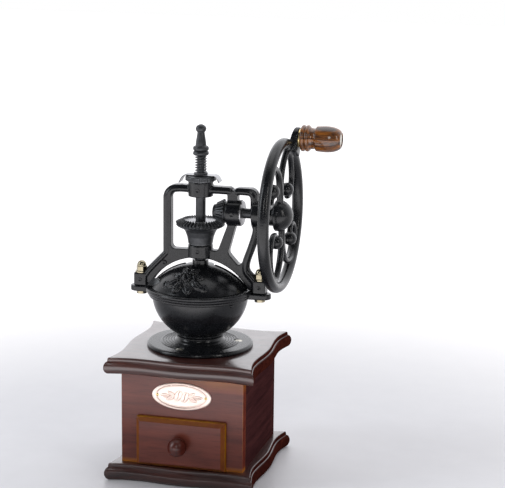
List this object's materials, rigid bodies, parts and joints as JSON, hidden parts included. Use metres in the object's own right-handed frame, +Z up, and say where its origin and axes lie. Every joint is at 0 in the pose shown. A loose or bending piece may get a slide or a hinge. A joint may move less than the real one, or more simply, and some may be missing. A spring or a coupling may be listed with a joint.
{
  "type": "hand crank coffee grinder",
  "caption": "Wooden box with drawer, cast bowl with turning lid, and a bridge carrying a flywheel crank and bevel gears that turn a grinding burr.",
  "frame": {"origin": "centre of the base board's flat underside", "axes": "+Z up, -Y towards the drawer side, +X along the crank axis towards the flywheel and grip"},
  "size_m": [0.1687, 0.1318, 0.28],
  "materials": {
    "board_wood": "glossy lacquered mahogany-stained boards",
    "wall_wood": "glossy lacquered mahogany-stained walls",
    "inner_wood": "plain unlacquered inner wood",
    "grip_wood": "glossy amber-brown turned wood",
    "plate_metal": "rose-gold stamped plate",
    "nail_brass": "plain brass",
    "zinc_screw": "zinc-plated steel",
    "black_iron": "satin black painted cast iron",
    "dark_steel": "blackened steel",
    "burr_steel": "hardened burr steel",
    "bright_steel": "bright spring steel",
    "pale_nickel": "pale nickel-plated brass"
  },
  "bodies": {
    "mill_frame": {"base_board": "board_wood", "top_board": "board_wood", "front_wall": "wall_wood", "back_wall": "wall_wood", "left_wall": "wall_wood", "right_wall": "wall_wood", "corner_blocks": "inner_wood", "base_screws": "zinc_screw", "drawer_guides": "inner_wood", "oval_plate": "plate_metal", "plate_nails": "nail_brass", "mill_bowl": "black_iron", "flange_screws": "dark_steel", "ring_burr": "burr_steel", "bowl_cover": "black_iron", "bridge": "black_iron", "ear_bolts": "pale_nickel", "ear_washers": "pale_nickel", "acorn_nuts": "pale_nickel", "crank_washers": "bright_steel", "thrust_washer": "dark_steel"},
    "drawer": {"drawer_front": "wall_wood", "drawer_left_side": "inner_wood", "drawer_right_side": "inner_wood", "drawer_back": "inner_wood", "drawer_bottom": "inner_wood", "drawer_knob": "wall_wood", "knob_screw": "zinc_screw"},
    "lid": {"lid": "black_iron"},
    "crank": {"crank_shaft": "dark_steel", "pinion": "dark_steel", "pinion_pin": "zinc_screw", "flywheel": "black_iron", "wheel_set_screw": "dark_steel", "crank_pin": "zinc_screw", "grip_washer": "nail_brass"},
    "handle": {"grip": "grip_wood"},
    "drive": {"ring_gear": "dark_steel"},
    "shaft": {"main_shaft": "dark_steel", "cone_burr": "burr_steel", "burr_nut": "zinc_screw", "coil_spring": "dark_steel"},
    "adjuster": {"adjusting_nut": "dark_steel"},
    "stopper": {"stopper_strip": "bright_steel", "spring_seat": "dark_steel"},
    "cap_ring": {"spring_collar": "dark_steel"},
    "cap": {"finial": "dark_steel"}
  },
  "joints": [
    {"name": "crank_spin", "type": "hinge", "parent": "mill_frame", "child": "crank", "pos_m": [0, 0, 0.2115], "axis": [1, 0, 0], "continuous": true},
    {"name": "handle_spin", "type": "hinge", "parent": "crank", "child": "handle", "pos_m": [0.09, 0.03096, 0.26899], "axis": [1, 0, 0], "continuous": true},
    {"name": "gear_spin", "type": "hinge", "parent": "mill_frame", "child": "drive", "pos_m": [0, 0, 0.2], "axis": [0, 0, 1], "continuous": true},
    {"name": "nut_turn", "type": "hinge", "parent": "drive", "child": "adjuster", "pos_m": [0, 0, 0.238], "axis": [0, 0, 1], "range_deg": [0, 288]},
    {"name": "grind_slide", "type": "slide", "parent": "drive", "child": "shaft", "axis": [0, 0, 1], "range_m": [0, 0.001], "deforming": ["coil_spring"]},
    {"name": "stop_lift", "type": "slide", "parent": "drive", "child": "stopper", "axis": [0, 0, 1], "range_m": [0, 0.004], "deforming": ["coil_spring"]},
    {"name": "cap_lift", "type": "slide", "parent": "shaft", "child": "cap_ring", "axis": [0, 0, 1], "range_m": [0, 0.0015]},
    {"name": "cap_turn", "type": "hinge", "parent": "cap_ring", "child": "cap", "pos_m": [0, 0, 0.26], "axis": [0, 0, 1], "range_deg": [0, 540]},
    {"name": "lid_swing", "type": "hinge", "parent": "mill_frame", "child": "lid", "pos_m": [0, 0, 0.165], "axis": [0, 0, 1], "range_deg": [0, 130]},
    {"name": "drawer_slide", "type": "slide", "parent": "mill_frame", "child": "drawer", "axis": [0, -1, 0], "range_m": [0, 0.07]}
  ],
  "couplings": [
    {"joint": "gear_spin", "follows": "crank_spin", "ratio": 0.5},
    {"joint": "nut_turn", "follows": "grind_slide", "rad_per_m": 5026.5},
    {"joint": "cap_lift", "follows": "cap_turn", "m_per_rad": 0.00015915}
  ]
}
